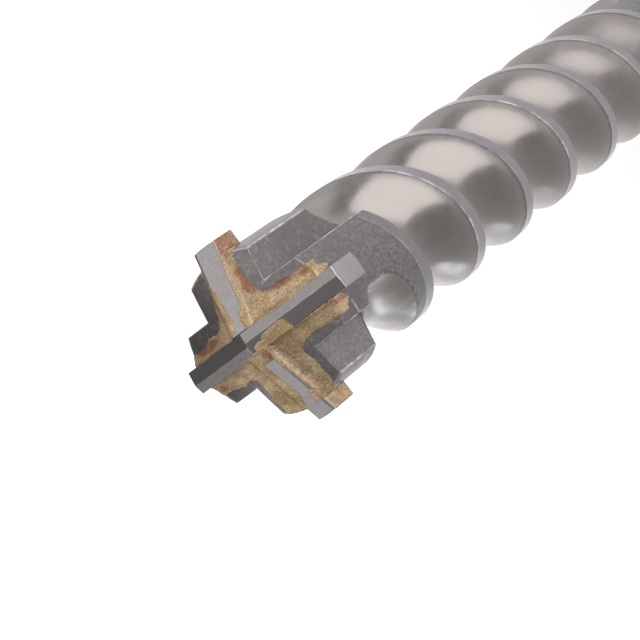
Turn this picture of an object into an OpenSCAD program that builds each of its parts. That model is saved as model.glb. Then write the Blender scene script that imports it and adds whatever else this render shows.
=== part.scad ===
// Four-cutter hammer drill bit: a steel bar with two milled spiral flutes and a
// cross-shaped head that holds three brazed carbide plates. A round bit rolls when
// it lies, so it stands on the flat end of its shank. Each piece is drawn from the
// tip at zero towards the shank, and stand_up() then turns the tip to the top.

/* [Cutting head] */
// Diameter of the hole it drills, across the carbide plates
cut_d = 25; // [24:0.5:30]
// Thickness of each carbide plate
plate_t = 3.1; // [2.4:0.1:3.6]
// Full angle of the point, across two cutting edges
point_angle = 133; // [125:1:140]
// Offset of the main plate's cutting edges from its middle, towards the turning side
edge_offset = 0.3; // [0.2:0.05:0.6]
// Offset of the side plates' cutting edges from their middle, towards the turning side
side_edge_offset = 1.1; // [0.8:0.05:1.2]
// Slope of the relief behind each cutting edge
relief_angle = 12; // [8:1:18]
// Slope of the narrow face ahead of each cutting edge
lead_angle = 14; // [8:1:20]
// Distance from the tip to the back of the main plate
main_plate_end = 12; // [10:0.5:14]
// Distance from the tip to the back of the two side plates
side_plate_end = 11; // [9:0.5:13]

/* [Brazing] */
// Thickness of the braze between a plate and its slot
braze_gap = 0.1; // [0.05:0.01:0.2]
// Height of the braze that has run out over the steel face
pool_h = 0.3; // [0.2:0.05:0.5]
// Width of the run-out braze along the plates
pool_w = 1.5; // [0.8:0.1:2]
// Radius of the braze pool round the centre
pool_r = 5.6; // [4.5:0.1:6]

/* [Steel head] */
// Diameter of the steel head, of the spiral lands and of the plain collar
body_d = 21.2; // [20:0.1:22]
// Width of each arm of the cross
arm_w = 9.9; // [9:0.1:11]
// Distance from the tip back to the steel face, along the axis
face_setback = 1.55; // [1.2:0.05:2]
// Full angle of the steel face behind the carbide
face_angle = 136; // [130:1:145]

/* [Spiral] */
// Advance of each flute in one full turn
pitch = 39; // [36:0.5:44]
// Depth of the flutes
flute_depth = 3.9; // [3.4:0.1:4.3]
// Width of a land, along the axis
land_w = 2.75; // [2:0.05:4]
// Place of the deepest line across a flute, as a share of its width
flute_low = 0.32; // [0.2:0.01:0.45]
// Steepness of the flute's long rear slope, where it meets the land
flute_rise = 2.4; // [2.1:0.05:2.8]
// Distance from the tip to the land's front edge, at the main plate
land_start = 7.3; // [6:0.1:9]
// Angle past the main plate at which each flute begins
flute_start = 17; // [10:1:30]
// Distance from the tip to the far end of the flutes
spiral_end = 146; // [120:1:160]
// Angle over which a flute's blunt front end deepens
blunt_turn = 23; // [15:1:40]
// Extra angle over which the flute's rear slope deepens
slant_turn = 126; // [60:2:150]
// Angle over which a flute runs out at its shank end
tail_turn = 70; // [40:5:100]

/* [Shank] */
// Length of the whole bit
total_len = 320; // [290:1:360]
// Distance from the tip to the end of the plain collar
collar_end = 182; // [176:1:195]
// Length of the taper from the collar to the shank
taper_len = 4; // [2:0.5:8]
// Diameter of the shank
shank_d = 18; // [17:0.1:19]
// Chamfer at the end of the shank
end_chamfer = 1.5; // [0.5:0.1:3]
// Width of the three open driving grooves
groove_w = 5; // [4:0.1:6]
// Depth of the driving grooves
groove_depth = 2.4; // [1.5:0.1:3]
// Length of the driving grooves at full depth
groove_len = 58; // [40:1:62]
// Radius of the cutter that ends each driving groove
groove_cutter_r = 20; // [12:1:25]
// Width of the two closed locking pockets
pocket_w = 7; // [6:0.1:8]
// Depth of the locking pockets
pocket_depth = 2.8; // [2:0.1:3.2]
// Length of the locking pockets, between the centres of their round ends
pocket_len = 34; // [25:1:38]
// Distance from the end of the shank to the first round end's centre
pocket_from_end = 28; // [22:1:34]

/* [Hidden] */

// Angles of the open grooves and of the closed pockets round the shank
groove_angles = [90, 230, 310];
pocket_angles = [0, 180];
// Steps along a flute in one turn, and sides of a full circle
turn_step = 10;
round_sides = 96;
// How far a cutting shape reaches past the surface that it cuts
past = 1;
// Radius of the back of the flute cutter, clear of the bar at every height
cutter_back_r = body_d / 2 + 2 * flute_depth;

cut_r = cut_d / 2;
body_r = body_d / 2;
shank_r = shank_d / 2;
half_arm = arm_w / 2;
half_t = plate_t / 2;
edge_rise = 1 / tan(point_angle / 2);
face_rise = 1 / tan(face_angle / 2);
slot_w = plate_t + 2 * braze_gap;
flute_w = pitch / 2 - land_w;
// Axial distance that the spiral climbs in one degree
climb = pitch / 360;
flute_z = land_start + land_w;
// Angle at which the flutes end, counted from the main plate
flute_end = (spiral_end - flute_z - flute_low * flute_w) / climb;

// Share of the full depth at a place across the flute: 0 is the edge nearer the
// tip, 1 the edge nearer the shank, and past them the value turns negative
function flute_shape(across) =
    across < flute_low
    ? 1 - pow(1 - across / flute_low, 2)
    : let (rear = (across - flute_low) / (1 - flute_low))
      1 - flute_rise * pow(rear, 2) + (flute_rise - 1) * pow(rear, 3);

// How far the cutter is sunk after a turn of that many degrees from one end
function sunk(turned, span) =
    turned <= 0
    ? turned / span
    : turned >= span ? 1 : sqrt(1 - pow(1 - turned / span, 2));

// Depth of the flute below the land, at an angle and a place across
function flute_cut(angle, across) =
    let (front_span = blunt_turn + slant_turn * pow(max(0, across), 2))
    let (front = sunk(angle - flute_start, front_span))
    let (tail = sunk(flute_end - angle, tail_turn))
    flute_depth * (flute_shape(across) - (1 - min(front, tail)));

function on_helix(r, angle, across) = [
    r * cos(angle),
    r * sin(angle),
    flute_z + climb * angle + across * flute_w
];

// Angles of the rows: dense where the cutter enters and leaves the bar
lead_in = [-3, 1, 4, 8, 13, 20];
function flute_rows() =
    let (first = flute_start + lead_in[5] + turn_step)
    let (last = flute_end - lead_in[5] - turn_step)
    let (steps = ceil((last - first) / turn_step))
    concat(
        [for (lead = lead_in) flute_start + lead],
        [for (i = [0:steps]) first + (last - first) * i / steps],
        [for (i = [5:-1:0]) flute_end - lead_in[i]]
    );

// Places across the flute where its section is computed
flute_places = [-0.035, 0.03, 0.09, 0.16, 0.24, 0.34, 0.45, 0.56, 0.67, 0.78, 0.88, 0.97, 1.03];

// One closed ring of the cutting solid: the flute's floor, then back outside
function flute_ring(angle) = concat(
    [for (across = flute_places) on_helix(body_r - flute_cut(angle, across), angle, across)],
    [for (across = [1.03, -0.035]) on_helix(cutter_back_r, angle, across)]
);

module flute_cutter() {
    rows = flute_rows();
    count = len(rows);
    ring = len(flute_places) + 2;
    points = [for (angle = rows) each flute_ring(angle)];
    sides = [
        for (i = [0:count - 2], j = [0:ring - 1])
            let (a = i * ring + j, b = i * ring + (j + 1) % ring)
            each [[a, b + ring, b], [a, a + ring, b + ring]]
    ];
    first_cap = [for (j = [0:ring - 1]) j];
    last_cap = [for (j = [ring - 1:-1:0]) (count - 1) * ring + j];
    polyhedron(points, concat(sides, [first_cap, last_cap]), convexity = 10);
}

// Everything behind the steel face, a wide cone that opens towards the shank
module behind_face(setback) {
    translate([0, 0, setback])
        cylinder(h = face_rise * 2 * cut_r, r1 = 0, r2 = 2 * cut_r, $fn = round_sides);
    translate([0, 0, setback + face_rise * 2 * cut_r])
        cylinder(h = total_len, r = 2 * cut_r, $fn = round_sides);
}

module bar() {
    taper_z = collar_end + taper_len;
    cylinder(h = collar_end, r = body_r, $fn = round_sides);
    translate([0, 0, collar_end])
        cylinder(h = taper_len, r1 = body_r, r2 = shank_r, $fn = round_sides);
    translate([0, 0, taper_z])
        cylinder(h = total_len - end_chamfer - taper_z, r = shank_r, $fn = round_sides);
    translate([0, 0, total_len - end_chamfer])
        cylinder(h = end_chamfer, r1 = shank_r, r2 = shank_r - end_chamfer, $fn = round_sides);
}

// A square notch between two arms, as deep as the flute that it runs into
module notch(angle) {
    reach = flute_z + climb * angle + flute_low * flute_w;
    rotate([0, 0, angle - 45])
        translate([half_arm, half_arm, -past])
            cube([cut_r, cut_r, reach + past]);
}

// The slots for the carbide, each a braze layer wider and deeper than its plate
module slots() {
    translate([-cut_r, -slot_w / 2, -past])
        cube([2 * cut_r, slot_w, main_plate_end + braze_gap + past]);
    translate([-slot_w / 2, -cut_r, -past])
        cube([slot_w, 2 * cut_r, side_plate_end + braze_gap + past]);
}

module driving_groove(angle) {
    floor_r = shank_r - groove_depth;
    rotate([0, 0, angle]) {
        translate([floor_r, -groove_w / 2, total_len - groove_len])
            cube([groove_depth + past, groove_w, groove_len + past]);
        translate([floor_r + groove_cutter_r, groove_w / 2, total_len - groove_len])
            rotate([90, 0, 0])
                cylinder(h = groove_w, r = groove_cutter_r, $fn = round_sides);
    }
}

module locking_pocket(angle) {
    z_last = total_len - pocket_from_end;
    rotate([0, 0, angle])
        translate([shank_r - pocket_depth, 0, 0])
            rotate([0, 90, 0])
                linear_extrude(height = pocket_depth + past)
                    union() {
                        translate([-z_last, -pocket_w / 2])
                            square([pocket_len, pocket_w]);
                        for (z = [z_last, z_last - pocket_len])
                            translate([-z, 0])
                                circle(d = pocket_w, $fn = 48);
                    }
}

// Takes away what lies ahead of one ground face, which holds the cutting edge
// and falls to one side of it by the given slope
module ground_face(slope) {
    block = 4 * cut_r;
    fall = tan(slope);
    rotate([atan(fall * cos(atan(edge_rise))), -atan(edge_rise), 0])
        translate([-block / 2, -block / 2, -block])
            cube([block, block, block]);
}

// The plate blank with its roof ground on, for edges along +X and -X
module ground_plate(x_from, x_to, plate_end, offset) {
    difference() {
        intersection() {
            translate([x_from, -half_t, -past])
                cube([x_to - x_from, plate_t, plate_end + past]);
            translate([0, 0, -2 * past])
                cylinder(h = plate_end + 4 * past, r = cut_r, $fn = round_sides);
        }
        for (half = [0, 180])
            rotate([0, 0, half])
                translate([0, -offset, 0]) {
                    ground_face(relief_angle);
                    ground_face(-lead_angle);
                }
    }
}

module main_blank() {
    ground_plate(-cut_r, cut_r, main_plate_end, edge_offset);
}

module side_blank(angle) {
    rotate([0, 0, angle])
        ground_plate(half_t + braze_gap, cut_r, side_plate_end, side_edge_offset);
}

// Turns a piece over, so that the bit stands on its shank with the tip at the top
module stand_up() {
    translate([0, 0, total_len])
        rotate([180, 0, 0])
            children();
}

module steel_body() {
    color([0.45, 0.43, 0.42])
        stand_up()
            difference() {
                intersection() {
                    bar();
                    behind_face(face_setback);
                }
                flute_cutter();
                rotate([0, 0, 180]) flute_cutter();
                for (half = [0, 180])
                    rotate([0, 0, half]) {
                        notch(45);
                        notch(135);
                    }
                slots();
                for (angle = groove_angles) driving_groove(angle);
                for (angle = pocket_angles) locking_pocket(angle);
            }
}

module main_plate() {
    color([0.60, 0.58, 0.60]) stand_up() main_blank();
}

module side_plate_left() {
    color([0.60, 0.58, 0.60]) stand_up() side_blank(270);
}

module side_plate_right() {
    color([0.60, 0.58, 0.60]) stand_up() side_blank(90);
}

// The outline of the braze seen from the front: a disc and four strips
module pool_outline() {
    circle(r = pool_r, $fn = round_sides);
    for (angle = [0, 90])
        rotate(angle)
            square([2 * body_r, plate_t + 2 * pool_w], center = true);
}

module braze() {
    color([0.72, 0.58, 0.36])
        stand_up()
            difference() {
                intersection() {
                    union() {
                        slots();
                        difference() {
                            linear_extrude(height = cut_r) pool_outline();
                            behind_face(face_setback);
                        }
                    }
                    behind_face(face_setback - pool_h);
                    cylinder(h = total_len, r = body_r, $fn = round_sides);
                }
                for (angle = [0:90:270]) notch_column(angle);
                main_blank();
                side_blank(90);
                side_blank(270);
            }
}

module notch_column(angle) {
    rotate([0, 0, angle])
        translate([half_arm, half_arm, -past])
            cube([cut_r, cut_r, cut_r]);
}

steel_body();
main_plate();
side_plate_left();
side_plate_right();
braze();
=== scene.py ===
"""Four-cutter hammer drill bit: the spiral steel body, the carbide plates and the braze, with their finishes.

Every skin is worked out in millimetres in the bit's own frame, where Z runs from the tip to the end of the
shank, and is then put into the row's frame in metres.
"""

import math

import bpy
import numpy as np
from mathutils import Matrix, Vector


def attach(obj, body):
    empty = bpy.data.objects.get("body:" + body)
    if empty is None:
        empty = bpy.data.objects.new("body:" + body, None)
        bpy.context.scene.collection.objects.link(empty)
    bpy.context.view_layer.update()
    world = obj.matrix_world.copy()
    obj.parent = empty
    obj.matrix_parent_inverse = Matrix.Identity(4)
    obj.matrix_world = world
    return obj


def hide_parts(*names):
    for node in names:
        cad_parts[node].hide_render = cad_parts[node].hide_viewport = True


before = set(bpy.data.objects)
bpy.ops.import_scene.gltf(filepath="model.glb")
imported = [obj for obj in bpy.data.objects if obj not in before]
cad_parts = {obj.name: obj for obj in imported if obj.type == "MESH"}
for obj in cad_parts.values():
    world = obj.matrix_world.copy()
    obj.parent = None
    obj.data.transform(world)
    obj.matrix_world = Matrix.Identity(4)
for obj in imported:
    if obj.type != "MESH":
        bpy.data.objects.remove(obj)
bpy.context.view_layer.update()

# Sizes of the head, in millimetres: the cutting circle, the plates and their ground roofs
CUT_R = 12.5
PLATE_HALF = 3.1 / 2
MAIN_END = 12.0
SIDE_END = 11.0
EDGE_OFFSET = 0.3  # how far each cutting edge of the main plate lies off its middle plane
SIDE_OFFSET = 1.1  # the same on the side plates
EDGE_RISE = 1 / math.tan(math.radians(133 / 2))
RELIEF = math.tan(math.radians(12))
LEAD = math.tan(math.radians(14))
SIDE_GAP = 0.1  # between a side plate and the main plate
PLATE_ROUND = 0.14  # radius at the outline of a plate's roof
HALF_ARM = 4.95  # half the width of an arm of the steel cross
SETBACK = 1.55  # from the tip to the middle of the steel face
FACE_RISE = 1 / math.tan(math.radians(136 / 2))

# Sizes of the spiral part
BODY_R = 10.6
PITCH = 39.0
FLUTE_DEPTH = 3.9
LAND_W = 2.75  # along the axis, as is the flute's width
DEEPEST = 0.32  # share of the flute's width at which it is deepest
WALL_CURVE = 2.4  # how soon the flute's far wall begins to rise
LAND_START = 7.3
FLUTE_START = 17.0  # degrees
BLUNT_TURN = 23.0  # degrees in which the cutter goes in at the land
SLANT_TURN = 126.0  # degrees more at the flute's far side
TAIL_TURN = 70.0  # degrees in which the cutter comes out again
SPIRAL_END = 146.0
SPLIT_Z = 160.0  # where the strips of the spiral part meet the shank's sections

# Sizes of the collar and the shank
TOTAL = 320.0
COLLAR_END = 182.0
TAPER = 4.0
SHANK_R = 9.0
CHAMFER = 1.5
GROOVE_ANGLES = (90, 230, 310)
GROOVE_START = TOTAL - 58.0
GROOVE_CUTTER = 20.0
GROOVE_HALF = 2.5
GROOVE_DEEP = 2.4
GROOVE_RISE = 9.55  # length of the stretch in which a groove's floor comes up
POCKET_ANGLES = (0, 180)
POCKET_LOW = TOTAL - 62.0
POCKET_HIGH = TOTAL - 28.0
POCKET_HALF = 3.5
POCKET_DEEP = 2.8

# Sizes worked out from these
FLUTE_W = PITCH / 2 - LAND_W
CLIMB = PITCH / 360
FLUTE_Z = LAND_START + LAND_W
FLUTE_END = (SPIRAL_END - FLUTE_Z - DEEPEST * FLUTE_W) / CLIMB
WALL_ANGLE = math.degrees(math.asin(HALF_ARM / BODY_R))
NOTCH_LINES = (WALL_ANGLE, 45, 90 - WALL_ANGLE)  # walls' edges and corner of a notch, in each quarter turn

# Rows and columns of the grids
STRIP_FROM = -270  # degrees
STRIP_QUARTERS = 19
LAND_ROWS = (0, 0.12, 0.4, 0.9, 1.5, 2.1, 2.5, 2.66)
FLUTE_ROWS = 31
HALVINGS = 30
CUT_WALL = 4
CUT_FLOOR = 8
CUT_COLUMNS = 2 * CUT_WALL + CUT_FLOOR
BRAZE_ROWS = 112
NOT_IN_FLUTE = -0.2  # what the attribute across says of a place outside the flutes


def to_row(points):
    """Bit frame in millimetres to the row frame in metres: (x, -y, 320 - z) / 1000."""
    points = np.asarray(points, float)
    return np.stack([points[..., 0], -points[..., 1], TOTAL - points[..., 2]], -1) / 1000


def polar(radius, angle, z):
    """Points at a radius, an angle in degrees and a height: (r cos a, r sin a, z)."""
    angle = np.radians(angle)
    return np.stack(np.broadcast_arrays(radius * np.cos(angle), radius * np.sin(angle), z), -1)


def turned(x, y, z, degrees):
    """Points turned about the axis: (x cos a - y sin a, x sin a + y cos a, z)."""
    c, s = math.cos(math.radians(degrees)), math.sin(math.radians(degrees))
    return np.stack(np.broadcast_arrays(c * x - s * y, s * x + c * y, z), -1)


def new_mesh(name, verts_mm, faces, material, smooth_angle, attributes):
    """One object from vertices in the bit frame and a list of faces, with its attributes and its finish."""
    mesh = bpy.data.meshes.new(name)
    mesh.from_pydata(to_row(verts_mm).tolist(), [], faces)
    for key, values in attributes.items():
        layer = mesh.attributes.new(key, "FLOAT", "POINT")
        layer.data.foreach_set("value", np.asarray(values, np.float32))
    mesh.validate()
    mesh.shade_smooth()
    mesh.set_sharp_from_angle(angle=math.radians(smooth_angle))
    mesh.materials.append(material)
    obj = bpy.data.objects.new(name, mesh)
    bpy.context.scene.collection.objects.link(obj)
    return obj


def weld(verts, faces, attributes, digits=4):
    """Merges vertices at the same place and drops the faces that this closes to nothing."""
    keys = np.round(verts, digits) + 0.0
    _, first, back = np.unique(keys, axis=0, return_index=True, return_inverse=True)
    back = back.reshape(-1)
    kept = []
    for face in back[np.asarray(faces)]:
        ring = [int(v) for v, w in zip(face, np.roll(face, 1)) if v != w]
        if len(ring) > 2 and len(set(ring)) == len(ring):
            kept.append(tuple(ring))
    return verts[first], kept, {key: values[first] for key, values in attributes.items()}


def grid_faces(rows, cols, closed=False):
    """Quads of a grid with vertex (i, j) at i * cols + j. A closed one joins its last column to its first."""
    i, j = np.meshgrid(np.arange(rows - 1), np.arange(cols if closed else cols - 1), indexing="ij")
    k = (j + 1) % cols
    quads = np.stack([i * cols + j, i * cols + k, (i + 1) * cols + k, (i + 1) * cols + j], -1)
    return quads.reshape(-1, 4).tolist()


# Steel body

STEEL_SHARP = 32  # degrees over which an edge of the steel is drawn sharp
NO_NOTCH = 99.0  # radius of a notch's walls past its end
MEETS_WITHIN = 0.02  # how close two surfaces' radii come where they cross
CREST_WIDTH = 0.12  # of the wear and painted highlight along the land's front edge
BRIGHT_AFTER = 110  # degrees behind the flute's start at which the land begins to look bright
BRIGHT_OVER = 110  # degrees more until it does so in full
SLIDE = 20  # length over which the shank's columns slide to the strips' angles


def quarter_angles():
    """Column angles of a quarter turn: even between a notch's lines, and close beside each of them."""
    runs = ((0, WALL_ANGLE, 15), (WALL_ANGLE, 45, 11), (45, 90 - WALL_ANGLE, 11), (90 - WALL_ANGLE, 90, 15))
    even = np.concatenate([np.linspace(start, stop, count)[:-1] for start, stop, count in runs])
    close = [line + step for line in NOTCH_LINES for step in (-0.8, -0.35, 0.35, 0.8)]
    return np.sort(np.concatenate([even, close]))


QUARTER = quarter_angles()
RING = np.concatenate([QUARTER + 90 * q for q in range(4)])
COLUMNS = len(RING)


def notch_radius(angle):
    """Distance from the axis to the notch's walls: half the arm over the smaller of |cos| and |sin|."""
    angle = np.radians(angle)
    c, s = np.maximum(np.abs(np.cos(angle)), 1e-6), np.maximum(np.abs(np.sin(angle)), 1e-6)
    return np.maximum(HALF_ARM / c, HALF_ARM / s)


def notch_end(angle):
    """Where this angle's notch ends: at the deepest line of the flute that leaves its quarter's middle."""
    quarter = np.floor((angle % 360) / 90).astype(int)
    middle = np.where(quarter % 2 == 0, 45.0, 135.0)
    return FLUTE_Z + CLIMB * middle + DEEPEST * FLUTE_W


def flute_shape(across):
    """Share of full depth across the flute: 1-(1-t/d)^2 up to the deepest line d, then 1-a*y^2+(a-1)*y^3."""
    y = (across - DEEPEST) / (1 - DEEPEST)
    near_wall = 1 - (1 - across / DEEPEST) ** 2
    return np.where(across < DEEPEST, near_wall, 1 - WALL_CURVE * y**2 + (WALL_CURVE - 1) * y**3)


def sunk(turned_by, span):
    """How far the cutter is in: sqrt(1-(1-s)^2) for s = turned_by/span from 0 to 1, and s itself before 0."""
    share = turned_by / span
    inside = np.sqrt(np.clip(1 - (1 - np.clip(share, 0, 1)) ** 2, 0, 1))
    return np.where(share <= 0, share, inside)


def flute_cut(turn, across):
    """Depth of the flute under the land, at an unwrapped angle and a place across it."""
    front = sunk(turn - FLUTE_START, BLUNT_TURN + SLANT_TURN * np.maximum(across, 0) ** 2)
    tail = sunk(FLUTE_END - turn, np.full_like(turn, TAIL_TURN))
    return FLUTE_DEPTH * (flute_shape(across) - (1 - np.minimum(front, tail)))


def limits(turn, z):
    """Radii of the bar's three surfaces, cylinder, notch and flute, and the place across the flute."""
    across = (z - LAND_START - CLIMB * turn - LAND_W) / FLUTE_W
    cut = np.where((across > 0) & (across < 1), flute_cut(turn, across), -1.0)
    body = np.full_like(z, BODY_R)
    notch = np.where(z < notch_end(turn), notch_radius(turn), NO_NOTCH)
    return np.stack([body, notch, BODY_R - cut]), across


def front_radius(angle):
    """Outline of the steel face: the cylinder or the notch's walls, whichever is nearer the axis."""
    return np.minimum(BODY_R, notch_radius(angle))


def front_z(angle):
    """Height of the steel face's outline: setback + rise * radius."""
    return SETBACK + FACE_RISE * front_radius(angle)


def steel_marks(count, **given):
    """The attributes that the steel's finish reads: those given, and the others at rest."""
    rest = {"depth": 0.0, "notch": 0.0, "edge": 0.0, "across": NOT_IN_FLUTE, "land": 0.0}
    return {key: np.ravel(given.get(key, np.full(count, value))) for key, value in rest.items()}


def strip_grid():
    """Angles and distances behind the land's front edge for the grid of one helical strip.

    Columns are fixed angles, so the notch walls lie on grid lines, and rows are fixed distances, so the
    land's edges do. The flute's rows lie closer together near its two sides.
    """
    turn = np.concatenate([QUARTER + STRIP_FROM + 90 * q for q in range(STRIP_QUARTERS)])
    even = np.linspace(0, 1, FLUTE_ROWS)
    wave = 0.5 - 0.5 * np.cos(np.linspace(0, math.pi, FLUTE_ROWS))
    behind = np.concatenate([LAND_ROWS, LAND_W + FLUTE_W * (0.45 * wave + 0.55 * even)])
    return np.meshgrid(turn, behind, indexing="ij")


def move_onto_crossings(turn, z, free):
    """Where two bounding surfaces cross between two rows, moves the nearer row along z onto the crossing.

    The crossing is found by halving the interval. Changes z, and returns which places have moved.
    """
    bound, _ = limits(turn, z)
    active = np.argmin(bound, 0)
    i, j = np.nonzero((active[:, 1:] != active[:, :-1]) & (z[:, 1:] > z[:, :-1]))
    before, after, spot = z[i, j], z[i, j + 1], turn[i, j]
    one, two, pick = active[i, j], active[i, j + 1], np.arange(len(i))
    low, high = before, after
    for _ in range(HALVINGS):
        middle = (low + high) / 2
        value, _ = limits(spot, middle)
        ahead = value[one, pick] <= value[two, pick]
        low, high = np.where(ahead, middle, low), np.where(ahead, high, middle)
    crossing = (low + high) / 2
    value, _ = limits(spot, crossing)
    meet = np.abs(value[one, pick] - value[two, pick]) < MEETS_WITHIN
    row = np.where(np.abs(crossing - before) < np.abs(after - crossing), j, j + 1)
    use = meet & (row > 0) & (row < z.shape[1] - 1) & free[i, row]
    place, first = np.unique((i * z.shape[1] + row)[use], return_index=True)
    moved = np.zeros(z.shape, bool)
    z.flat[place] = crossing[use][first]
    moved.flat[place] = True
    return moved


def spiral_strip():
    """One of two helical strips, a land and the flute behind it: z = start + climb * turn + behind."""
    turn, behind = strip_grid()
    low, high = front_z(turn), SPLIT_Z
    z = np.clip(LAND_START + CLIMB * turn + behind, low, high)
    moved = move_onto_crossings(turn, z, (z > low) & (z < high))
    bound, across = limits(turn, z)
    radius, active = np.min(bound, 0), np.argmin(bound, 0)

    # The edge mark is wear with a painted highlight: at the land's front edge, at rows moved onto crossings
    # and at the notch walls' edges.
    crest = np.exp(-np.abs(z - LAND_START - CLIMB * turn) / CREST_WIDTH)
    crest = crest * (active == 0) * (turn > FLUTE_START)
    edge = np.maximum(crest, moved * np.where(z < notch_end(turn) + 0.3, 0.5, 0.08))
    for line in NOTCH_LINES:
        away = np.abs(turn % 90 - line)
        wall = np.where(away < 0.01, 1.0, np.where(away < 0.4, 0.7, 0.0))
        edge = np.maximum(edge, wall * (z < notch_end(turn)))
    past_head = np.clip((turn - FLUTE_START - BRIGHT_AFTER) / BRIGHT_OVER, 0, 1)
    marks = steel_marks(
        z.size,
        depth=BODY_R - radius,
        notch=(active == 1).astype(float),
        edge=edge,
        across=np.clip(across, NOT_IN_FLUTE, 1),
        land=(active == 0) * (behind < LAND_W) * past_head,
    )
    faces = [face[::-1] for face in grid_faces(*turn.shape)]
    return polar(radius, turn, z).reshape(-1, 3), faces, marks


def groove_at(z):
    """Half width and depth of a driving groove, open at the shank's end and run out on the cutter's arc."""
    back = max(GROOVE_START - z, 0)
    rise = GROOVE_CUTTER - math.sqrt(max(GROOVE_CUTTER**2 - back**2, 0))
    return GROOVE_HALF, max(GROOVE_DEEP - rise, 0)


def pocket_at(z):
    """Half width and depth of a locking pocket: straight, with half-round ends."""
    past = max(z - POCKET_HIGH, 0) + max(POCKET_LOW - z, 0)
    half = math.sqrt(max(POCKET_HALF**2 - past**2, 0))
    return half, POCKET_DEEP if past < POCKET_HALF else 0.0


def shank_stations():
    """Heights of the shank's sections, close together where its collar, grooves or pockets change shape."""
    round_end = POCKET_HALF * np.sin(np.linspace(0, math.pi / 2, 9))
    return np.unique(np.round(np.concatenate([
        SPLIT_Z + np.array([0, 3, 6, 10, 16]),
        COLLAR_END + np.array([-0.4, 0, 0.4, 2, 3.6, TAPER, TAPER + 0.4]),
        np.linspace(COLLAR_END + 6, GROOVE_START - 12, 12),
        GROOVE_START - GROOVE_RISE * (1 - np.linspace(0, 1, 9) ** 2),
        POCKET_LOW - round_end,
        np.linspace(POCKET_LOW, POCKET_HIGH, 12),
        POCKET_HIGH + round_end,
        np.linspace(POCKET_HIGH + 4, TOTAL - CHAMFER - 0.1, 6),
        np.linspace(TOTAL - CHAMFER, TOTAL, 4),
    ]), 4))


def shank_ring(z, r, cuts, gaps, counts):
    """One section: each cut's two walls and flat floor, then the arc of radius r up to the next cut.

    A cut is as wide as it can be at its depth: at most sqrt(r^2 - floor^2) each way. Returns the points and
    how far each lies under its cut's brim.
    """
    halves, floors = [], []
    for _, shape in cuts:
        half, deep = shape(z)
        floor = SHANK_R - deep
        half = min(half, math.sqrt(max(r * r - floor * floor, 0))) if deep > 0 else 0.0
        halves.append(half)
        floors.append(min(floor, math.sqrt(r * r - half * half)))
    points, depths = [], []
    for k, (angle, _) in enumerate(cuts):
        half, floor = halves[k], floors[k]
        brim = math.sqrt(r * r - half * half)
        wall = np.linspace(brim, floor, CUT_WALL + 1)[:-1]
        rise = np.linspace(floor, brim, CUT_WALL + 1)[:-1]
        if half:
            outwards = np.concatenate([wall, np.full(CUT_FLOOR, floor), rise])
        else:
            outwards = np.full(CUT_COLUMNS, r)
        flat = np.linspace(-half, half, CUT_FLOOR + 1)[:-1]
        sideways = np.concatenate([np.full(CUT_WALL, -half), flat, np.full(CUT_WALL, half)])
        start = angle + math.degrees(math.asin(half / r))
        stop = angle + gaps[k] - math.degrees(math.asin(halves[(k + 1) % len(cuts)] / r))
        arc = np.linspace(start, stop, counts[k] + 1)[:-1]
        points += [turned(outwards, sideways, z, angle), polar(r, arc, z)]
        depths += [brim - outwards, np.zeros(counts[k])]
    return np.concatenate(points), np.concatenate(depths)


def shank_loft():
    """Collar and shank as closed sections along z. Near the split the columns slide to the strips' angles."""
    cuts = [(angle, groove_at) for angle in GROOVE_ANGLES] + [(angle, pocket_at) for angle in POCKET_ANGLES]
    cuts.sort(key=lambda cut: cut[0])
    spare = COLUMNS - CUT_COLUMNS * len(cuts)
    gaps = [(after[0] - before[0]) % 360 for before, after in zip(cuts, cuts[1:] + cuts[:1])]
    counts = [int(round(spare * gap / 360)) for gap in gaps]
    counts[-1] += spare - sum(counts)
    stations = shank_stations()
    radii = np.interp(stations, [SPLIT_Z, COLLAR_END, COLLAR_END + TAPER, TOTAL - CHAMFER, TOTAL],
                      [BODY_R, BODY_R, SHANK_R, SHANK_R, SHANK_R - CHAMFER])
    rings, depths = [], []
    for z, r in zip(stations, radii):
        ring, depth = shank_ring(z, r, cuts, gaps, counts)
        own = np.clip((z - SPLIT_Z) / SLIDE, 0, 1)
        if own < 1:
            angles = np.degrees(np.unwrap(np.arctan2(ring[:, 1], ring[:, 0])))
            ring = polar(r, angles * own + RING * (1 - own), z)
        rings.append(ring)
        depths.append(depth)
    verts = np.concatenate(rings + [[[0, 0, TOTAL]]])
    faces = grid_faces(len(rings), COLUMNS, closed=True)
    centre, base = len(verts) - 1, (len(rings) - 1) * COLUMNS
    faces += [[base + j, base + (j + 1) % COLUMNS, centre, centre] for j in range(COLUMNS)]
    return verts, faces, steel_marks(len(verts), depth=np.concatenate(depths + [np.zeros(1)]))


def front_face():
    """The steel face: rings on the cone z = setback + rise * r, out to the outline of the arms."""
    shares = np.concatenate([[0], np.linspace(0.04, 0.97, 24), [0.988, 1]])
    r = shares[:, None] * front_radius(RING)
    xyz = polar(r, RING, SETBACK + FACE_RISE * r).reshape(-1, 3)
    # The rim gets the edge mark, wear with a painted highlight.
    near_rim = np.repeat(np.interp(shares, [0.97, 0.988, 1], [0, 0.6, 1]), COLUMNS)
    # The rim's vertices have the strips' marks, and 2 keeps the notches' dark finish nearly out to them
    marks = steel_marks(len(xyz), notch=np.full(len(xyz), 2.0), edge=near_rim)
    return xyz, grid_faces(len(shares), COLUMNS, closed=True), marks


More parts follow.
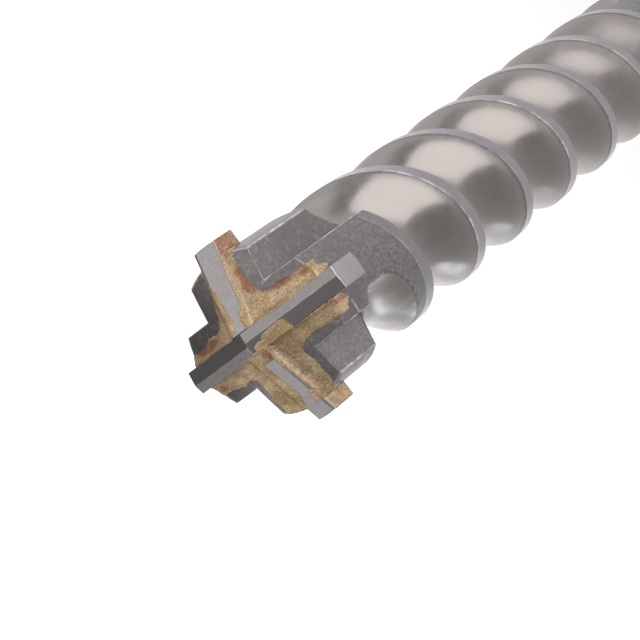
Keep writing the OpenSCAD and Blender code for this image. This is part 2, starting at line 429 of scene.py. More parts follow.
def steel_bar(material):
    """Face, two spiral strips and shank, welded into one closed skin."""
    strip, strip_faces, strip_marks = spiral_strip()
    half_turn = np.array([-1, -1, 1])
    parts = [
        (strip, strip_faces, strip_marks),
        (strip * half_turn, strip_faces, strip_marks),
        shank_loft(),
        front_face(),
    ]
    faces, start = [], 0
    for xyz, quads, _ in parts:
        faces += [[v + start for v in quad] for quad in quads]
        start += len(xyz)
    verts = np.concatenate([xyz for xyz, _, _ in parts])
    marks = {key: np.concatenate([part[2][key] for part in parts]) for key in strip_marks}
    verts, faces, marks = weld(verts, faces, marks)
    return new_mesh("steel_bar", verts, faces, material, STEEL_SHARP, marks)


# Carbide plates

PLATE_STEP = 0.16  # of a plate's grid
PLATE_RINGS = ((0.03, 1), (0.3, 1), (0.65, 1), (0.985, 1), (1, 0.995))  # shares of the way down, and draft
RIDGE_WIDTH = 0.05  # of the wear and painted highlight along a cutting edge
PLATE_SHARP = 24  # degrees over which an edge of a plate is drawn sharp


def roof_z(x, y, offset=EDGE_OFFSET):
    """Height of a ground roof along X: the deepest of four planes, each rise * x and a slope off its edge."""
    best = np.full(np.shape(x), -9.0)
    for sign in (1, -1):
        u, v = sign * x, sign * y + offset
        best = np.maximum(best, EDGE_RISE * u + np.maximum(RELIEF * v, -LEAD * v))
    return best


def nearest_roof(x, y):
    """Roof of the plate that a place on the head is over or beside: the side plates run along Y."""
    on_main = (np.abs(y) < PLATE_HALF) | (np.abs(y) < np.abs(x))
    return np.where(on_main, roof_z(x, y), roof_z(y, -x, SIDE_OFFSET))


def plate_grid(x_from, offset):
    """A plate's grid, close at its outline and its two ridges, and the circle's x at each y.

    A plate through the middle is drawn in to the circle at both ends, the others at their outer end alone.
    """
    ends = [x_from + 0.04, x_from + 0.1, CUT_R - 0.04, CUT_R - 0.1]
    even = np.linspace(x_from, CUT_R, int((CUT_R - x_from) / PLATE_STEP) + 2)
    along = np.unique(np.round(np.concatenate([even, ends]), 5))
    ridge, beside = offset / PLATE_HALF, np.array([-0.02, 0, 0.02])
    rim = np.array([0.88, 0.92, 0.955, 0.985, 1])
    middle = np.linspace(-0.82, 0.82, 23)
    across = np.unique(np.concatenate([-rim, middle, rim, beside - ridge, beside + ridge]))
    x, y = np.meshgrid(along, across * PLATE_HALF, indexing="ij")
    circle = np.sqrt(CUT_R**2 - y**2)
    if x_from < 0:
        return x / CUT_R * circle, y, circle
    return x_from + (x - x_from) / (CUT_R - x_from) * (circle - x_from), y, circle


def grid_outline(rows, cols):
    """Indices of a grid's outer vertices, once round."""
    first = [i * cols for i in range(rows)]
    far = [(rows - 1) * cols + j for j in range(1, cols)]
    last = [i * cols + cols - 1 for i in range(rows - 2, -1, -1)]
    return first + far + last + list(range(cols - 2, 0, -1))


def plate(name, x_from, angle, end, material, offset):
    """A carbide plate: a roof, 0.9 * (r - sqrt(r^2 - d^2)) lower near its outline, and flat sides below."""
    x, y, circle = plate_grid(x_from, offset)
    inset = np.minimum(PLATE_HALF - np.abs(y), circle - np.abs(x))
    lack = np.clip(1 - inset / PLATE_ROUND, 0, 1)
    z = roof_z(x, y, offset) + PLATE_ROUND * (1 - np.sqrt(1 - lack**2)) * 0.9
    roof = np.stack([x, y, z], -1).reshape(-1, 3)
    line = grid_outline(*x.shape)
    rim = roof[line]
    rings = []
    for share, draft in PLATE_RINGS:
        down = rim[:, 2] + share * (end - rim[:, 2])
        rings.append(np.stack([rim[:, 0] * draft, rim[:, 1] * draft, down], -1))
    verts = np.concatenate([roof] + rings)
    faces = grid_faces(*x.shape)
    count = len(line)
    for ring in range(len(rings)):
        below = list(range(len(roof) + ring * count, len(roof) + (ring + 1) * count))
        faces += [[line[k], line[(k + 1) % count], below[(k + 1) % count], below[k]] for k in range(count)]
        line = below
    faces.append(line)

    past_ridge = np.where(x > 0, y, -y) + offset
    edge, relief = np.zeros(len(verts)), np.zeros(len(verts))
    # The edge mark, wear with a painted highlight, follows the rounded outline and the cutting ridge.
    edge[:len(roof)] = np.maximum(lack**2, np.exp(-np.abs(past_ridge) / RIDGE_WIDTH) * 0.7).reshape(-1)
    # The main plate's relief faces behind its cutting edges are marked for painted shade.
    if x_from < 0:
        relief[:len(roof)] = (past_ridge > 0.02).reshape(-1)
    placed = turned(verts[:, 0], verts[:, 1], verts[:, 2], angle)
    return new_mesh(name, placed, faces, material, PLATE_SHARP, {"edge": edge, "relief": relief})


# Braze

BRAZE_SHARP = 180  # no edge of the braze is drawn sharp
POOL_HIGH = 0.26
POOL_RIM = 0.55  # width of its rounded rim
FILLET_HIGH = 0.95
FILLET_WIDTH = 0.34
CREPT_HIGH = 0.10
RUN_OUT = 0.12  # the most by which braze stands out from the head's outside
# Seeds of the braze's irregular fields
POOL_SEED, FILLET_SEED, CREPT_SEED, OUTSIDE_SEED, DROP_SEED = 5, 8, 21, 14, 11
STAIN_SEED, FRESH_SEED = 33, 34
FLANK_SEED, FLANK_RED_SEED, FLANK_FRESH_SEED = 40, 50, 60
# Bare steel left at the notches' edges, in millimetres, for the quarters (+x+y, -x+y, -x-y, +x-y):
# along the x arm near the notch's corner and at the arm's end, then the same along the y arm
BARE = ((1.2, 0.9, 1.2, 1.3), (1.3, 1.7, 0.9, 0.35), (1.4, 2.2, 2.3, 2.6), (1.35, 1.4, 1.3, 2.3))
# Reddish stains: x, y, half length, half width, turn in degrees, strength
STAINS = (
    (3.2, -6.4, 2.3, 1.1, 84, 1.0),
    (6.6, -3.5, 2.6, 0.6, 6, 0.8),
    (9.4, -3.0, 1.4, 0.8, 10, 0.7),
    (-7.0, -2.6, 3.2, 0.9, 4, 0.8),
    (-2.3, -7.5, 0.4, 3.5, 0, 0.5),
    (2.0, 5.6, 0.5, 4.2, 0, 0.45),
    (10.6, 2.6, 0.8, 0.9, 20, 0.5),
    (-9.2, 2.6, 1.4, 0.8, 10, 0.7),
    (1.0, 2.4, 1.0, 1.0, 0, 0.6),
    (0.9, 10.2, 0.8, 1.0, 0, 0.4),
    (-3.2, 7.6, 1.0, 1.4, 10, 0.45),
    (-1.7, -5.6, 0.5, 3.6, 0, 0.8),
)
# Fresh bright braze in the fillets, with the same six numbers
FRESH = (
    (1.75, -6.6, 0.42, 5.2, 0, 0.9),
    (1.75, 5.6, 0.6, 4.6, -3, 1.0),
    (0.95, 9.9, 0.8, 1.6, 8, 0.8),
    (10.2, 3.0, 0.9, 0.8, 0, 0.8),
    (6.0, -2.3, 3.4, 0.6, 0, 0.5),
    (2.2, -2.3, 1.6, 0.8, 0, 0.5),
)
# Braze that has crept up over the plates' roofs: x, y, half length, half width, turn in degrees
CREPT = (
    (3.5, 1.1, 1.75, 1.2, -4),
    (2.0, 1.6, 1.5, 1.05, 0),
    (0.3, 2.3, 1.9, 0.95, 0),
    (-1.5, 5.6, 1.0, 4.0, -3),
    (-1.5, 8.8, 0.7, 1.8, 0),
    (1.75, 5.2, 0.45, 4.4, -2),
    (1.1, 9.9, 0.7, 1.3, 8),
    (1.65, -6.9, 0.36, 5.0, 0),
    (1.6, -2.6, 0.9, 1.1, -10),
    (-1.45, -5.2, 0.8, 3.3, -7.5),
    (5.4, -1.75, 3.4, 0.42, 1),
)
# Where braze has run down the head's outside: x, y, width, extra length
RUNS = (
    (10.3, 2.6, 0.9, 2.6),
    (10.4, -2.1, 0.5, 2.4),
    (10.2, -3.4, 0.5, 1.2),
    (2.4, -10.3, 0.8, 1.5),
    (2.5, 10.3, 0.9, 1.6),
)
# Rows of the skin down the head's outside, in millimetres under its rim
DROPS = (0.12, 0.3, 0.55, 0.85, 1.2, 1.6, 2.1, 2.7, 3.4)
# Braze on a side plate's flank, outside the steel: from and to along the plate, and its back's depth
FLANK_FROM, FLANK_TO, FLANK_BACK = 10.45, 12.46, -0.2


def soft_noise(x, y, seed):
    """Smooth irregular field in about -1..1: nine sine waves, each finer, weaker and bent by a slower one."""
    rng = np.random.default_rng(seed)
    total = np.zeros(np.shape(x))
    for k in range(9):
        angle = rng.uniform(0, 2 * math.pi)
        phase = rng.uniform(0, 2 * math.pi)
        finer = 0.7 * 1.42**k
        bend = 1.3 * np.sin(0.6 * finer * y + phase)
        total += np.sin(finer * (x * math.cos(angle) + y * math.sin(angle)) + phase + bend) / (1 + 0.55 * k)
    return total / 2.6


def ellipse(x, y, px, py, rx, ry, turn, power=2):
    """1 at an ellipse's centre, 0 on its rim and negative outside it: 1 - (|u/rx|^p + |v/ry|^p)^(1/p)."""
    c, s = math.cos(math.radians(turn)), math.sin(math.radians(turn))
    u, v = c * (x - px) + s * (y - py), -s * (x - px) + c * (y - py)
    return 1 - (np.abs(u / rx) ** power + np.abs(v / ry) ** power) ** (1 / power)


def bare_width(x, y):
    """Width of bare steel at a notch's edge, blended along each arm and over the corner from four numbers."""
    ax, ay = np.abs(x), np.abs(y)
    quarter = np.where(x > 0, np.where(y > 0, 0, 3), np.where(y > 0, 1, 2))
    table = np.array(BARE)[quarter]
    lean = np.clip(0.5 + 0.5 * (ay - ax) / 3.0, 0, 1)
    out = np.clip((np.maximum(ax, ay) - HALF_ARM) / 4.5, 0, 1)
    along_x = table[..., 0] * (1 - out) + table[..., 1] * out
    along_y = table[..., 2] * (1 - out) + table[..., 3] * out
    return along_x * (1 - lean) + along_y * lean


def pool_height(x, y):
    """Height of braze over the steel: a pool with a rounded irregular rim, and a fillet up each plate.

    The pool is high * sqrt(1-(1-d)^2), for d the distance in from the bare steel plus noise, over the rim's
    width. A fillet is high * exp(-distance from the plate / width), with noise in both numbers.
    """
    ax, ay = np.abs(x), np.abs(y)
    from_corner = np.hypot(HALF_ARM - ax, HALF_ARM - ay)
    away = np.where(ax > HALF_ARM, HALF_ARM - ay, np.where(ay > HALF_ARM, HALF_ARM - ax, from_corner))
    noise = soft_noise(x, y, POOL_SEED)
    inside = (away - bare_width(x, y)) + 0.36 * noise
    share = np.clip(inside / POOL_RIM, 0, 1)
    pool = np.where(inside > 0, POOL_HIGH * np.sqrt(1 - (1 - share) ** 2), np.clip(0.4 * inside, -0.2, 0))
    beside = np.minimum(np.abs(ay - PLATE_HALF), np.abs(ax - PLATE_HALF))
    beside = np.where((ax < PLATE_HALF) | (ay < PLATE_HALF), 0, beside)
    width = FILLET_WIDTH + 0.10 * soft_noise(x, y, FILLET_SEED)
    fillet = (FILLET_HIGH + 0.2 * noise) * np.exp(-beside / width)
    return pool + fillet * np.clip(0.35 + 1.4 * share, 0, 1)


def crept_height(x, y):
    """Height of braze over the plates' roofs: high * sqrt(2.5 * d) up to high, d in from a ragged rim."""
    best = np.full(np.shape(x), -0.5)
    ragged = 0.11 * soft_noise(x, y, CREPT_SEED)
    for px, py, rx, ry, turn in CREPT:
        inside = ellipse(x, y, px, py, rx, ry, turn, 5) * min(rx, ry) + ragged
        crept = CREPT_HIGH * np.sqrt(np.clip(2.5 * inside, 0, 1))
        best = np.maximum(best, np.where(inside > 0, crept, inside))
    return best


def blots(x, y, table, seed):
    """How strongly a table's blots cover a place: the most of strength * 2 * (ellipse + 0.3 * noise)."""
    best = np.zeros(np.shape(x))
    for px, py, rx, ry, turn, strength in table:
        inside = ellipse(x, y, px, py, rx, ry, turn) + 0.3 * soft_noise(x, y, seed)
        best = np.maximum(best, strength * np.clip(inside * 2.0, 0, 1))
    return best


def skin_rows(xyz, height, red, fresh):
    """Rows of the braze's skin: each place, with the three values that its finish reads beside it."""
    values = [np.broadcast_to(value, xyz.shape[:-1])[..., None] for value in (height, red, fresh)]
    return np.concatenate([xyz, *values], -1)


def face_rows(steps):
    """Braze on the steel face and up the plates, on rings out to the steel's outline.

    Beside the plates z is the face's less the pool's height, and stays under the nearest roof. On a plate it
    is the roof's less the height of the crept braze.
    """
    r = np.linspace(0, 1, BRAZE_ROWS)[:, None] * front_radius(steps)
    xyz = polar(r, steps, 0.0)
    x, y = xyz[..., 0], xyz[..., 1]
    on_plate = (np.abs(x) < PLATE_HALF) | (np.abs(y) < PLATE_HALF)
    pool, crept, roof = pool_height(x, y), crept_height(x, y), nearest_roof(x, y)
    beside_plate = np.maximum(SETBACK + FACE_RISE * r - pool, roof + 0.02)
    xyz[..., 2] = np.where(on_plate, roof - np.clip(crept, -0.25, None), beside_plate)
    height = np.where(on_plate, crept * 3, pool)
    return skin_rows(xyz, height, blots(x, y, STAINS, STAIN_SEED), blots(x, y, FRESH, FRESH_SEED))


def outside_rows(steps):
    """Braze on the head's outside: under the rim by a drop, and out by 0.35 * (reach - drop), up to RUN_OUT.

    The reach is noise plus the table's runs, each its length * exp(-(distance / width)^2).
    """
    rim = front_radius(steps)
    x, y, _ = polar(rim, steps, 0.0).T
    under_pool = pool_height(x, y) > 0.02
    noise = soft_noise(x * 1.3, y * 1.3, OUTSIDE_SEED)
    runs = np.zeros(len(steps))
    for px, py, width, length in RUNS:
        runs = np.maximum(runs, length * np.exp(-((x - px) ** 2 + (y - py) ** 2) / width**2))
    red = blots(x, y, STAINS, STAIN_SEED) * 0.8 + 0.25
    fresh = blots(x, y, FRESH, FRESH_SEED)
    rows = []
    for drop in DROPS:
        reach = 1.1 + 1.3 * noise + 0.5 * soft_noise(x + 2 * drop, y - drop, DROP_SEED) + runs
        height = np.where(under_pool, np.minimum(0.16, 0.35 * (reach - drop)), -0.2)
        place = polar(rim + np.clip(height, -0.15, RUN_OUT), steps, SETBACK + FACE_RISE * rim + drop)
        rows.append(skin_rows(place, height, red, fresh))
    return np.stack(rows)


def underside_rows(steps):
    """Rings inside the steel, level with the outside's lowest row, which close the skin at the axis."""
    shares = np.array([0.6, 0.25, 0])[:, None]
    level = SETBACK + FACE_RISE * BODY_R + DROPS[-1]
    return skin_rows(polar(shares * front_radius(steps), steps, level), 0, 0, 0)


def flank_patch(side):
    """Braze on the +x flank of the side plate on one side, and its back inside the plate, as two grids.

    It stands out 0.10 * sqrt(c) - 0.03, where c falls along the flank with noise, and thins out at its edges.
    """
    length, height = np.linspace(FLANK_FROM, FLANK_TO, 26), np.linspace(0, 1, 48)
    along, down = np.meshgrid(length, height, indexing="ij")
    top = roof_z(along, np.full(along.shape, -side * PLATE_HALF), SIDE_OFFSET)
    z = top + 0.06 + down * (SIDE_END - 0.2 - top)
    patchy = np.clip(1.5 - 0.9 * down + 0.5 * soft_noise(along * 2.5, z * 2.5, FLANK_SEED + side), 0, 1)
    cover = 0.10 * np.sqrt(patchy) - 0.03
    from_end = np.minimum(along - FLANK_FROM, FLANK_TO - along) / 0.15
    inside = np.minimum(from_end, np.minimum(down, 1 - down) / 0.04)
    cover = np.where(inside < 1, np.minimum(cover, 0.05 * inside - 0.03), cover)
    back = np.where(inside > 0, FLANK_BACK, cover)
    red = 0.45 - 0.35 * side + 0.3 * soft_noise(along * 1.7, z * 1.7, FLANK_RED_SEED)
    fresh = np.clip(0.5 * soft_noise(along * 1.3, z * 1.3, FLANK_FRESH_SEED + side), 0, 1)
    return [skin_rows(np.stack([PLATE_HALF + out, side * along, z], -1), out * 3, red, fresh)
            for out in (cover, back)]


def braze_skin(material):
    """The braze on the steel face, up the plates, down the head's outside and on two plates' flanks."""
    # The face's own columns, and one more between each two
    steps = np.interp(np.arange(0, COLUMNS, 0.5), np.arange(COLUMNS + 1), np.append(RING, 360.0))
    rows = np.concatenate([face_rows(steps), outside_rows(steps), underside_rows(steps)])
    tables = [rows.reshape(-1, rows.shape[-1])]
    faces = grid_faces(*rows.shape[:2], closed=True)
    start = len(tables[0])
    for side in (-1, 1):
        for patch, reverse in zip(flank_patch(side), (side > 0, side < 0)):
            quads = np.array(grid_faces(*patch.shape[:2])) + start
            faces += (quads[:, ::-1] if reverse else quads).tolist()
            tables.append(patch.reshape(-1, patch.shape[-1]))
            start += len(tables[-1])
    table = np.concatenate(tables)
    marks = {"height": table[:, 3], "red": np.clip(table[:, 4], 0, 1), "fresh": table[:, 5]}
    verts, faces, marks = weld(table[:, :3], faces, marks)
    return new_mesh("braze_skin", verts, faces, material, BRAZE_SHARP, marks)


# Finishes


class Graph:
    """A short way to write a node tree."""

    def __init__(self, tree):
        self.tree = tree
        tree.nodes.clear()

    def add(self, kind, **settings):
        node = self.tree.nodes.new(kind)
        for key, value in settings.items():
            setattr(node, key, value)
        return node

    def put(self, value, socket):
        """Links a socket to another's output, or sets its number."""
        if hasattr(value, "is_output"):
            self.tree.links.new(value, socket)
        else:
            socket.default_value = value

    def axis(self, vector, letter):
        node = self.add("ShaderNodeSeparateXYZ")
        self.put(vector, node.inputs[0])
        return node.outputs[letter]

    def ramp(self, value, low, high, to_low=0.0, to_high=1.0):
        """Smooth step of a value from low to high onto to_low to to_high."""
        node = self.add("ShaderNodeMapRange", interpolation_type="SMOOTHSTEP")
        for socket, number in zip(node.inputs[:5], (value, low, high, to_low, to_high)):
            self.put(number, socket)
        return node.outputs[0]


class Finish(Graph):
    """A material's node tree, which reads Object coordinates and the piece's own attributes."""

    def __init__(self, name):
        self.material = bpy.data.materials.new(name)
        self.material.use_nodes = True
        super().__init__(self.material.node_tree)
        self.shader = self.add("ShaderNodeBsdfPrincipled")
        out = self.add("ShaderNodeOutputMaterial")
        self.put(self.shader.outputs[0], out.inputs["Surface"])
        self.place = self.add("ShaderNodeTexCoord").outputs["Object"]

    def attribute(self, name):
        return self.add("ShaderNodeAttribute", attribute_name=name).outputs["Fac"]

    def stretched(self, scale):
        node = self.add("ShaderNodeMapping")
        self.put(self.place, node.inputs["Vector"])
        node.inputs["Scale"].default_value = scale
        return node.outputs[0]

    def noise(self, scale, detail, roughness, vector=None, distortion=0.0):
        node = self.add("ShaderNodeTexNoise")
        self.put(vector or self.place, node.inputs["Vector"])
        settings = {"Scale": scale, "Detail": detail, "Roughness": roughness, "Distortion": distortion}
        for key, number in settings.items():
            node.inputs[key].default_value = number
        return node.outputs[0]

    def math(self, operation, *values, clamp=False):
        node = self.add("ShaderNodeMath", operation=operation, use_clamp=clamp)
        for socket, value in zip(node.inputs, values):
            self.put(value, socket)
        return node.outputs[0]

    def spread(self, value, by):
        """A noise value of 0 to 1 made a number of -by/2 to by/2."""
        return self.math("MULTIPLY_ADD", value, by, -by / 2)

    def mix(self, factor, a, b):
        node = self.add("ShaderNodeMix", data_type="RGBA")
        for index, value in ((0, factor), (6, a), (7, b)):
            self.put(value, node.inputs[index])
        return node.outputs[2]

    def bump(self, height, strength, distance, normal=None):
        node = self.add("ShaderNodeBump")
        self.put(height, node.inputs["Height"])
        node.inputs["Strength"].default_value = strength
        node.inputs["Distance"].default_value = distance
        if normal is not None:
            self.put(normal, node.inputs["Normal"])
        return node.outputs[0]

    def finished(self, colour, roughness, normal, metallic=0.0):
        """Puts the four values on the shader and returns the material."""
        values = {"Base Color": colour, "Roughness": roughness, "Normal": normal, "Metallic": metallic}
        for key, value in values.items():
            self.put(value, self.shader.inputs[key])
        return self.material


def rgb(r, g, b):
    return (r, g, b, 1.0)


def steel_finish():
    """Milled flutes with painted shade along their deep side, ground arms and lands, dark notches, and edges
    pale with wear and a painted highlight.
    """
    steel = Finish("milled and ground steel")
    depth, notch, edge = steel.attribute("depth"), steel.attribute("notch"), steel.attribute("edge")
    across, land = steel.attribute("across"), steel.attribute("land")
    in_flute = steel.ramp(depth, 0.02, 0.25)
    fine = steel.noise(2600, 3, 0.6)
    mottle = steel.noise(420, 4, 0.6)
    broad = steel.noise(60, 3, 0.5)
    milled = steel.noise(900, 3, 0.6, steel.stretched((0.35, 0.35, 1.6)))
    grain = steel.noise(2400, 4, 0.7, steel.stretched((1.0, 1.0, 0.5)))

    flute = steel.mix(mottle, rgb(0.265, 0.241, 0.229), rgb(0.34, 0.314, 0.300))
    # Painted shade: the flute turns darker brown towards its steep near wall and its deepest part.
    deep_side_shade = steel.math("MULTIPLY", steel.ramp(across, 0.42, 0.02), steel.ramp(mottle, 0.2, 0.6, 0.7, 1.0))
    flute = steel.mix(deep_side_shade, flute, rgb(0.165, 0.145, 0.137))

    ground = steel.mix(steel.ramp(grain, 0.22, 0.8), rgb(0.12, 0.109, 0.112), rgb(0.27, 0.25, 0.255))
    ground_land = steel.mix(mottle, rgb(0.25, 0.229, 0.246), rgb(0.37, 0.345, 0.37))
    near_tip = steel.ramp(steel.axis(steel.place, "Z"), 0.298, 0.313)
    heated = steel.math("MULTIPLY", near_tip, steel.ramp(steel.noise(230, 4, 0.65), 0.42, 0.62, 0.0, 0.6))
    colour = steel.mix(land, ground, ground_land)
    colour = steel.mix(heated, colour, rgb(0.17, 0.13, 0.16))
    colour = steel.mix(in_flute, colour, flute)

    dark = steel.mix(steel.ramp(broad, 0.35, 0.7), rgb(0.20, 0.18, 0.18), rgb(0.30, 0.275, 0.275))
    dark = steel.mix(steel.ramp(grain, 0.6, 0.35, 0.0, 0.5), dark, rgb(0.12, 0.108, 0.105))
    flecks = steel.ramp(steel.noise(1100, 3, 0.65), 0.56, 0.72, 0.0, 0.5)
    dark = steel.mix(flecks, dark, rgb(0.42, 0.39, 0.38))
    colour = steel.mix(steel.ramp(notch, 0.3, 0.9), colour, dark)

    # Edges pale with wear and a painted highlight, in patches.
    wear_and_edge_highlight = steel.math("MULTIPLY", edge, steel.ramp(mottle, 0.35, 0.62, 0.1, 1.0))
    patchy = steel.ramp(steel.noise(140, 3, 0.6), 0.38, 0.56, 0.45, 1.0)
    wear_and_edge_highlight = steel.math("MULTIPLY", wear_and_edge_highlight, patchy, clamp=True)
    colour = steel.mix(wear_and_edge_highlight, colour, rgb(0.92, 0.90, 0.89))

    neither = steel.math("SUBTRACT", 1.0, steel.math("MAXIMUM", in_flute, land))
    rough = steel.math("MULTIPLY_ADD", steel.ramp(mottle, 0.3, 0.7), 0.08, 0.20)
    rough = steel.math("ADD", rough, steel.math("MULTIPLY", neither, 0.12))
    normal = steel.bump(steel.mix(in_flute, grain, milled), 0.22, 0.00003)
    normal = steel.bump(fine, 0.12, 0.00002, normal)
    # Metallic drops on these edges so that their pale colour reads as a painted highlight.
    return steel.finished(colour, rough, normal, steel.math("MULTIPLY_ADD", wear_and_edge_highlight, -0.8, 0.92))


def carbide_finish():
    """Ground carbide: specks, pale smears, grinding lines, painted shade darkening the main plate's relief
    faces, and edges pale with wear and a painted highlight.
    """
    carbide = Finish("ground carbide")
    grain = carbide.noise(3200, 3, 0.65)
    blotch = carbide.noise(260, 3, 0.5)
    lines = carbide.noise(900, 2, 0.5, carbide.stretched((1.0, 1.0, 8.0)))
    colour = carbide.mix(blotch, rgb(0.355, 0.33, 0.325), rgb(0.43, 0.405, 0.40))
    colour = carbide.mix(carbide.ramp(grain, 0.55, 0.3, 0.0, 0.35), colour, rgb(0.20, 0.18, 0.17))
    smears = carbide.ramp(carbide.noise(700, 4, 0.7), 0.55, 0.75, 0.0, 0.4)
    colour = carbide.mix(smears, colour, rgb(0.52, 0.47, 0.43))
    # Painted shade: the relief faces are darker.
    colour = carbide.mix(carbide.attribute("relief"), colour, rgb(0.20, 0.185, 0.18))
    patchy = carbide.ramp(blotch, 0.4, 0.6, 0.3, 0.9)
    # Edges pale with wear and a painted highlight.
    wear_and_edge_highlight = carbide.math("MULTIPLY", carbide.attribute("edge"), patchy, clamp=True)
    colour = carbide.mix(wear_and_edge_highlight, colour, rgb(0.62, 0.61, 0.62))
    normal = carbide.bump(lines, 0.15, 0.00003, carbide.bump(grain, 0.25, 0.00002))
    return carbide.finished(colour, carbide.math("MULTIPLY_ADD", lines, 0.16, 0.30), normal, 0.85)


def braze_finish():
    """Tarnished golden braze: copper stains, fresh metal, grey scale, dark grit, light grit brightened as
    painted glints, and dark thin rims.
    """
    braze = Finish("heat-stained braze")
    height, red, fresh = braze.attribute("height"), braze.attribute("red"), braze.attribute("fresh")
    mottle = braze.noise(420, 5, 0.68, distortion=0.5)
    patch = braze.noise(170, 4, 0.6)
    speck = braze.noise(1500, 4, 0.72)
    grit = braze.noise(5200, 3, 0.7)

    gold = braze.mix(braze.ramp(mottle, 0.3, 0.7), rgb(0.46, 0.305, 0.155), rgb(0.81, 0.60, 0.37))
    gold = braze.mix(braze.ramp(patch, 0.5, 0.72, 0.0, 0.5), gold, rgb(0.38, 0.29, 0.18))
    copper = braze.mix(braze.ramp(mottle, 0.3, 0.7), rgb(0.25, 0.11, 0.06), rgb(0.50, 0.27, 0.16))
    reddish = braze.math("ADD", red, braze.spread(speck, 1.1))
    reddish = braze.math("ADD", reddish, braze.spread(mottle, 1.2))
    colour = braze.mix(braze.ramp(reddish, 0.12, 0.8), gold, copper)
    shine = braze.math("ADD", fresh, braze.spread(speck, 0.9))
    colour = braze.mix(braze.ramp(shine, 0.2, 0.9, 0.0, 0.85), colour, rgb(0.78, 0.58, 0.40))

    grey = braze.mix(mottle, rgb(0.20, 0.185, 0.17), rgb(0.36, 0.34, 0.31))
    scale = braze.ramp(braze.noise(260, 5, 0.72), 0.58, 0.68, 0.0, 0.75)
    colour = braze.mix(scale, colour, grey)
    colour = braze.mix(braze.ramp(grit, 0.52, 0.34, 0.0, 0.65), colour, rgb(0.15, 0.10, 0.065))
    # Pale grit: light grains of the braze, brightened as painted glints.
    colour = braze.mix(braze.ramp(grit, 0.58, 0.68, 0.0, 0.6), colour, rgb(0.93, 0.80, 0.60))
    colour = braze.mix(braze.ramp(height, 0.0, 0.05), rgb(0.17, 0.12, 0.085), colour)

    normal = braze.bump(mottle, 0.55, 0.0003)
    normal = braze.bump(speck, 0.45, 0.0001, normal)
    normal = braze.bump(grit, 0.4, 0.00004, normal)
    return braze.finished(colour, braze.math("MULTIPLY_ADD", speck, 0.35, 0.30), normal, 0.7)


def floor_finish():
    """Plain pale paper with a fine fibre."""
    paper = Finish("pale paper floor")
    fibre = paper.noise(900, 3, 0.6)
    colour = paper.mix(fibre, rgb(0.92, 0.92, 0.92), rgb(0.94, 0.94, 0.94))
    return paper.finished(colour, 0.9, paper.bump(fibre, 0.05, 0.0001))


# Pieces

body = steel_bar(steel_finish())
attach(body, "root")
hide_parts("steel_body")

carbide = carbide_finish()
side_from = PLATE_HALF + SIDE_GAP
for name, x_from, angle, end, offset, node in (
    ("main_carbide", -CUT_R, 0, MAIN_END, EDGE_OFFSET, "main_plate"),
    ("side_carbide_left", side_from, 270, SIDE_END, SIDE_OFFSET, "side_plate_left"),
    ("side_carbide_right", side_from, 90, SIDE_END, SIDE_OFFSET, "side_plate_right"),
):
    piece = plate(name, x_from, angle, end, carbide, offset)
    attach(piece, "root")
    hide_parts(node)

skin = braze_skin(braze_finish())
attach(skin, "root")
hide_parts("braze")

# Camera: the photograph's viewing angle on the bit, in degrees, and the tip's place before it, in millimetres
VIEW_TILT = 29.608  # between the view and the bit's axis
VIEW_TURN = 178.974  # round the bit's axis, from +x
VIEW_ROLL = 127.749  # of the camera about its view
TIP_RIGHT, TIP_DOWN, TIP_AHEAD = -8.77375, 3.08625, 340.97
PHOTO_PIXELS = 640
FOCAL_PIXELS = 2886.216
SENSOR_WIDTH = 36


def view_axes():
    """The camera's right, down and ahead in the bit's frame, from the view's tilt, turn and roll."""
    tilt, turn, roll = math.radians(VIEW_TILT), math.radians(VIEW_TURN), math.radians(VIEW_ROLL)
    ahead = np.array([math.sin(tilt) * math.cos(turn), math.sin(tilt) * math.sin(turn), math.cos(tilt)])
    level = np.array([-math.sin(turn), math.cos(turn), 0])
    right = math.cos(roll) * level + math.sin(roll) * np.cross(ahead, level)
    return right, np.cross(ahead, right), ahead


def place_camera():
    """A camera that has the bit's tip right, down and ahead of it by the three lengths above."""
    right, down, ahead = view_axes()
    pose = np.identity(4)
    for column, way in enumerate((right, -down, -ahead)):
        pose[:3, column] = way * (1, -1, -1)
    pose[:3, 3] = to_row(-(right * TIP_RIGHT + down * TIP_DOWN + ahead * TIP_AHEAD))
    data = bpy.data.cameras.new("camera")
    data.sensor_width = SENSOR_WIDTH
    data.lens = FOCAL_PIXELS / PHOTO_PIXELS * SENSOR_WIDTH
    data.clip_end = 10
    data.dof.use_dof = False
    camera = bpy.data.objects.new("camera", data)
    camera.matrix_world = Matrix(pose.tolist())
    bpy.context.scene.collection.objects.link(camera)
    bpy.context.scene.camera = camera


# Studio, in metres
HEAD = Vector((0, 0, 0.27))
WARM = (1.0, 0.985, 0.98)
COOL = (0.84, 0.93, 1.0)
PALE_BLUE = (0.96, 0.98, 1.0)
WHITE = (1, 1, 1)
FLOOR_HALF = 3


def area_light(name, spot, target, size, power, colour=WHITE):
    """A rectangular lamp that the camera doesn't see, turned to its target."""
    data = bpy.data.lights.new(name, "AREA")
    data.shape = "RECTANGLE"
    data.size, data.size_y = size
    data.energy = power
    data.color = colour
    light = bpy.data.objects.new(name, data)
    light.rotation_euler = (Vector(target) - Vector(spot)).to_track_quat("-Z", "Y").to_euler()
    light.location = spot
    light.visible_camera = False
    bpy.context.scene.collection.objects.link(light)


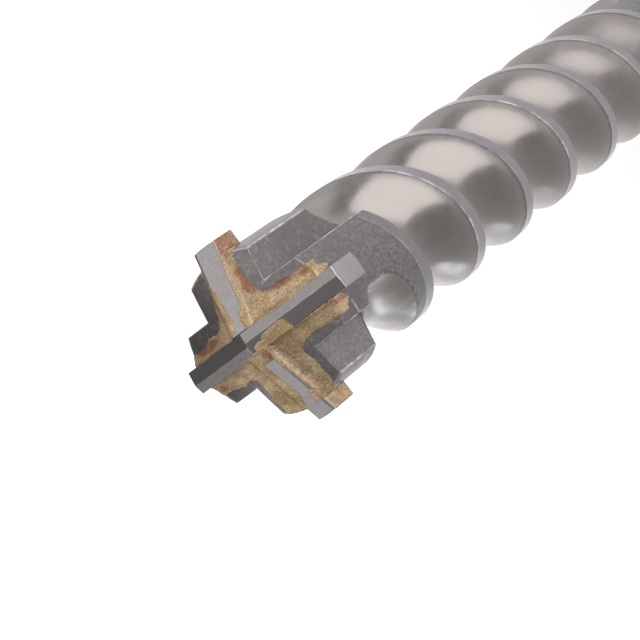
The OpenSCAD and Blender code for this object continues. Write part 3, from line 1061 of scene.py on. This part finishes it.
def softbox(name, azimuth, height, distance, size, power, colour=WHITE):
    """A lamp that faces the head, at an azimuth from +X and a height angle in degrees."""
    az, up = math.radians(azimuth), math.radians(height)
    way = Vector((math.cos(az) * math.cos(up), math.sin(az) * math.cos(up), math.sin(up)))
    area_light(name, HEAD + way * distance, HEAD, size, power, colour)


def studio_world():
    """Even soft light that grows from 0.26 near the horizon to 0.56 overhead."""
    world = bpy.data.worlds.new("studio")
    bpy.context.scene.world = world
    world.use_nodes = True
    studio = Graph(world.node_tree)
    sky = studio.add("ShaderNodeBackground")
    up = studio.axis(studio.add("ShaderNodeTexCoord").outputs["Generated"], "Z")
    studio.put(studio.ramp(up, 0.15, 0.6, 0.26, 0.56), sky.inputs["Strength"])
    studio.put(sky.outputs[0], studio.add("ShaderNodeOutputWorld").inputs["Surface"])


def paper_floor():
    """A plain square sheet under the shank."""
    corners = [(-FLOOR_HALF, -FLOOR_HALF, 0), (FLOOR_HALF, -FLOOR_HALF, 0),
               (FLOOR_HALF, FLOOR_HALF, 0), (-FLOOR_HALF, FLOOR_HALF, 0)]
    mesh = bpy.data.meshes.new("floor")
    mesh.from_pydata(corners, [], [(0, 1, 2, 3)])
    mesh.materials.append(floor_finish())
    sheet = bpy.data.objects.new("floor", mesh)
    bpy.context.scene.collection.objects.link(sheet)
    return sheet


place_camera()
softbox("key", 100, 44, 0.7, (0.55, 0.45), 0.66, WARM)
softbox("side", 15, -10, 0.45, (0.64, 0.34), 1.34, WARM)
softbox("rim", 97, -22, 0.4, (0.26, 0.18), 0.06, WARM)
softbox("overhead", 20, 78, 0.8, (0.4, 0.4), 0.6)
softbox("cool", 240, -35, 0.36, (0.1, 0.05), 0.03, COOL)
softbox("fill", 215, 25, 0.7, (0.4, 0.4), 0.42, PALE_BLUE)
area_light("backdrop lamp", (-0.27, -0.01, 0.26), (-0.4, -0.01, 0), (0.36, 0.3), 0.93)
area_light("floor lamp", (0.02, 0.34, 0.22), (0.03, 0.12, 0), (0.3, 0.25), 0.2)
studio_world()
floor = paper_floor()

scene = bpy.context.scene
scene.view_settings.view_transform = "Standard"
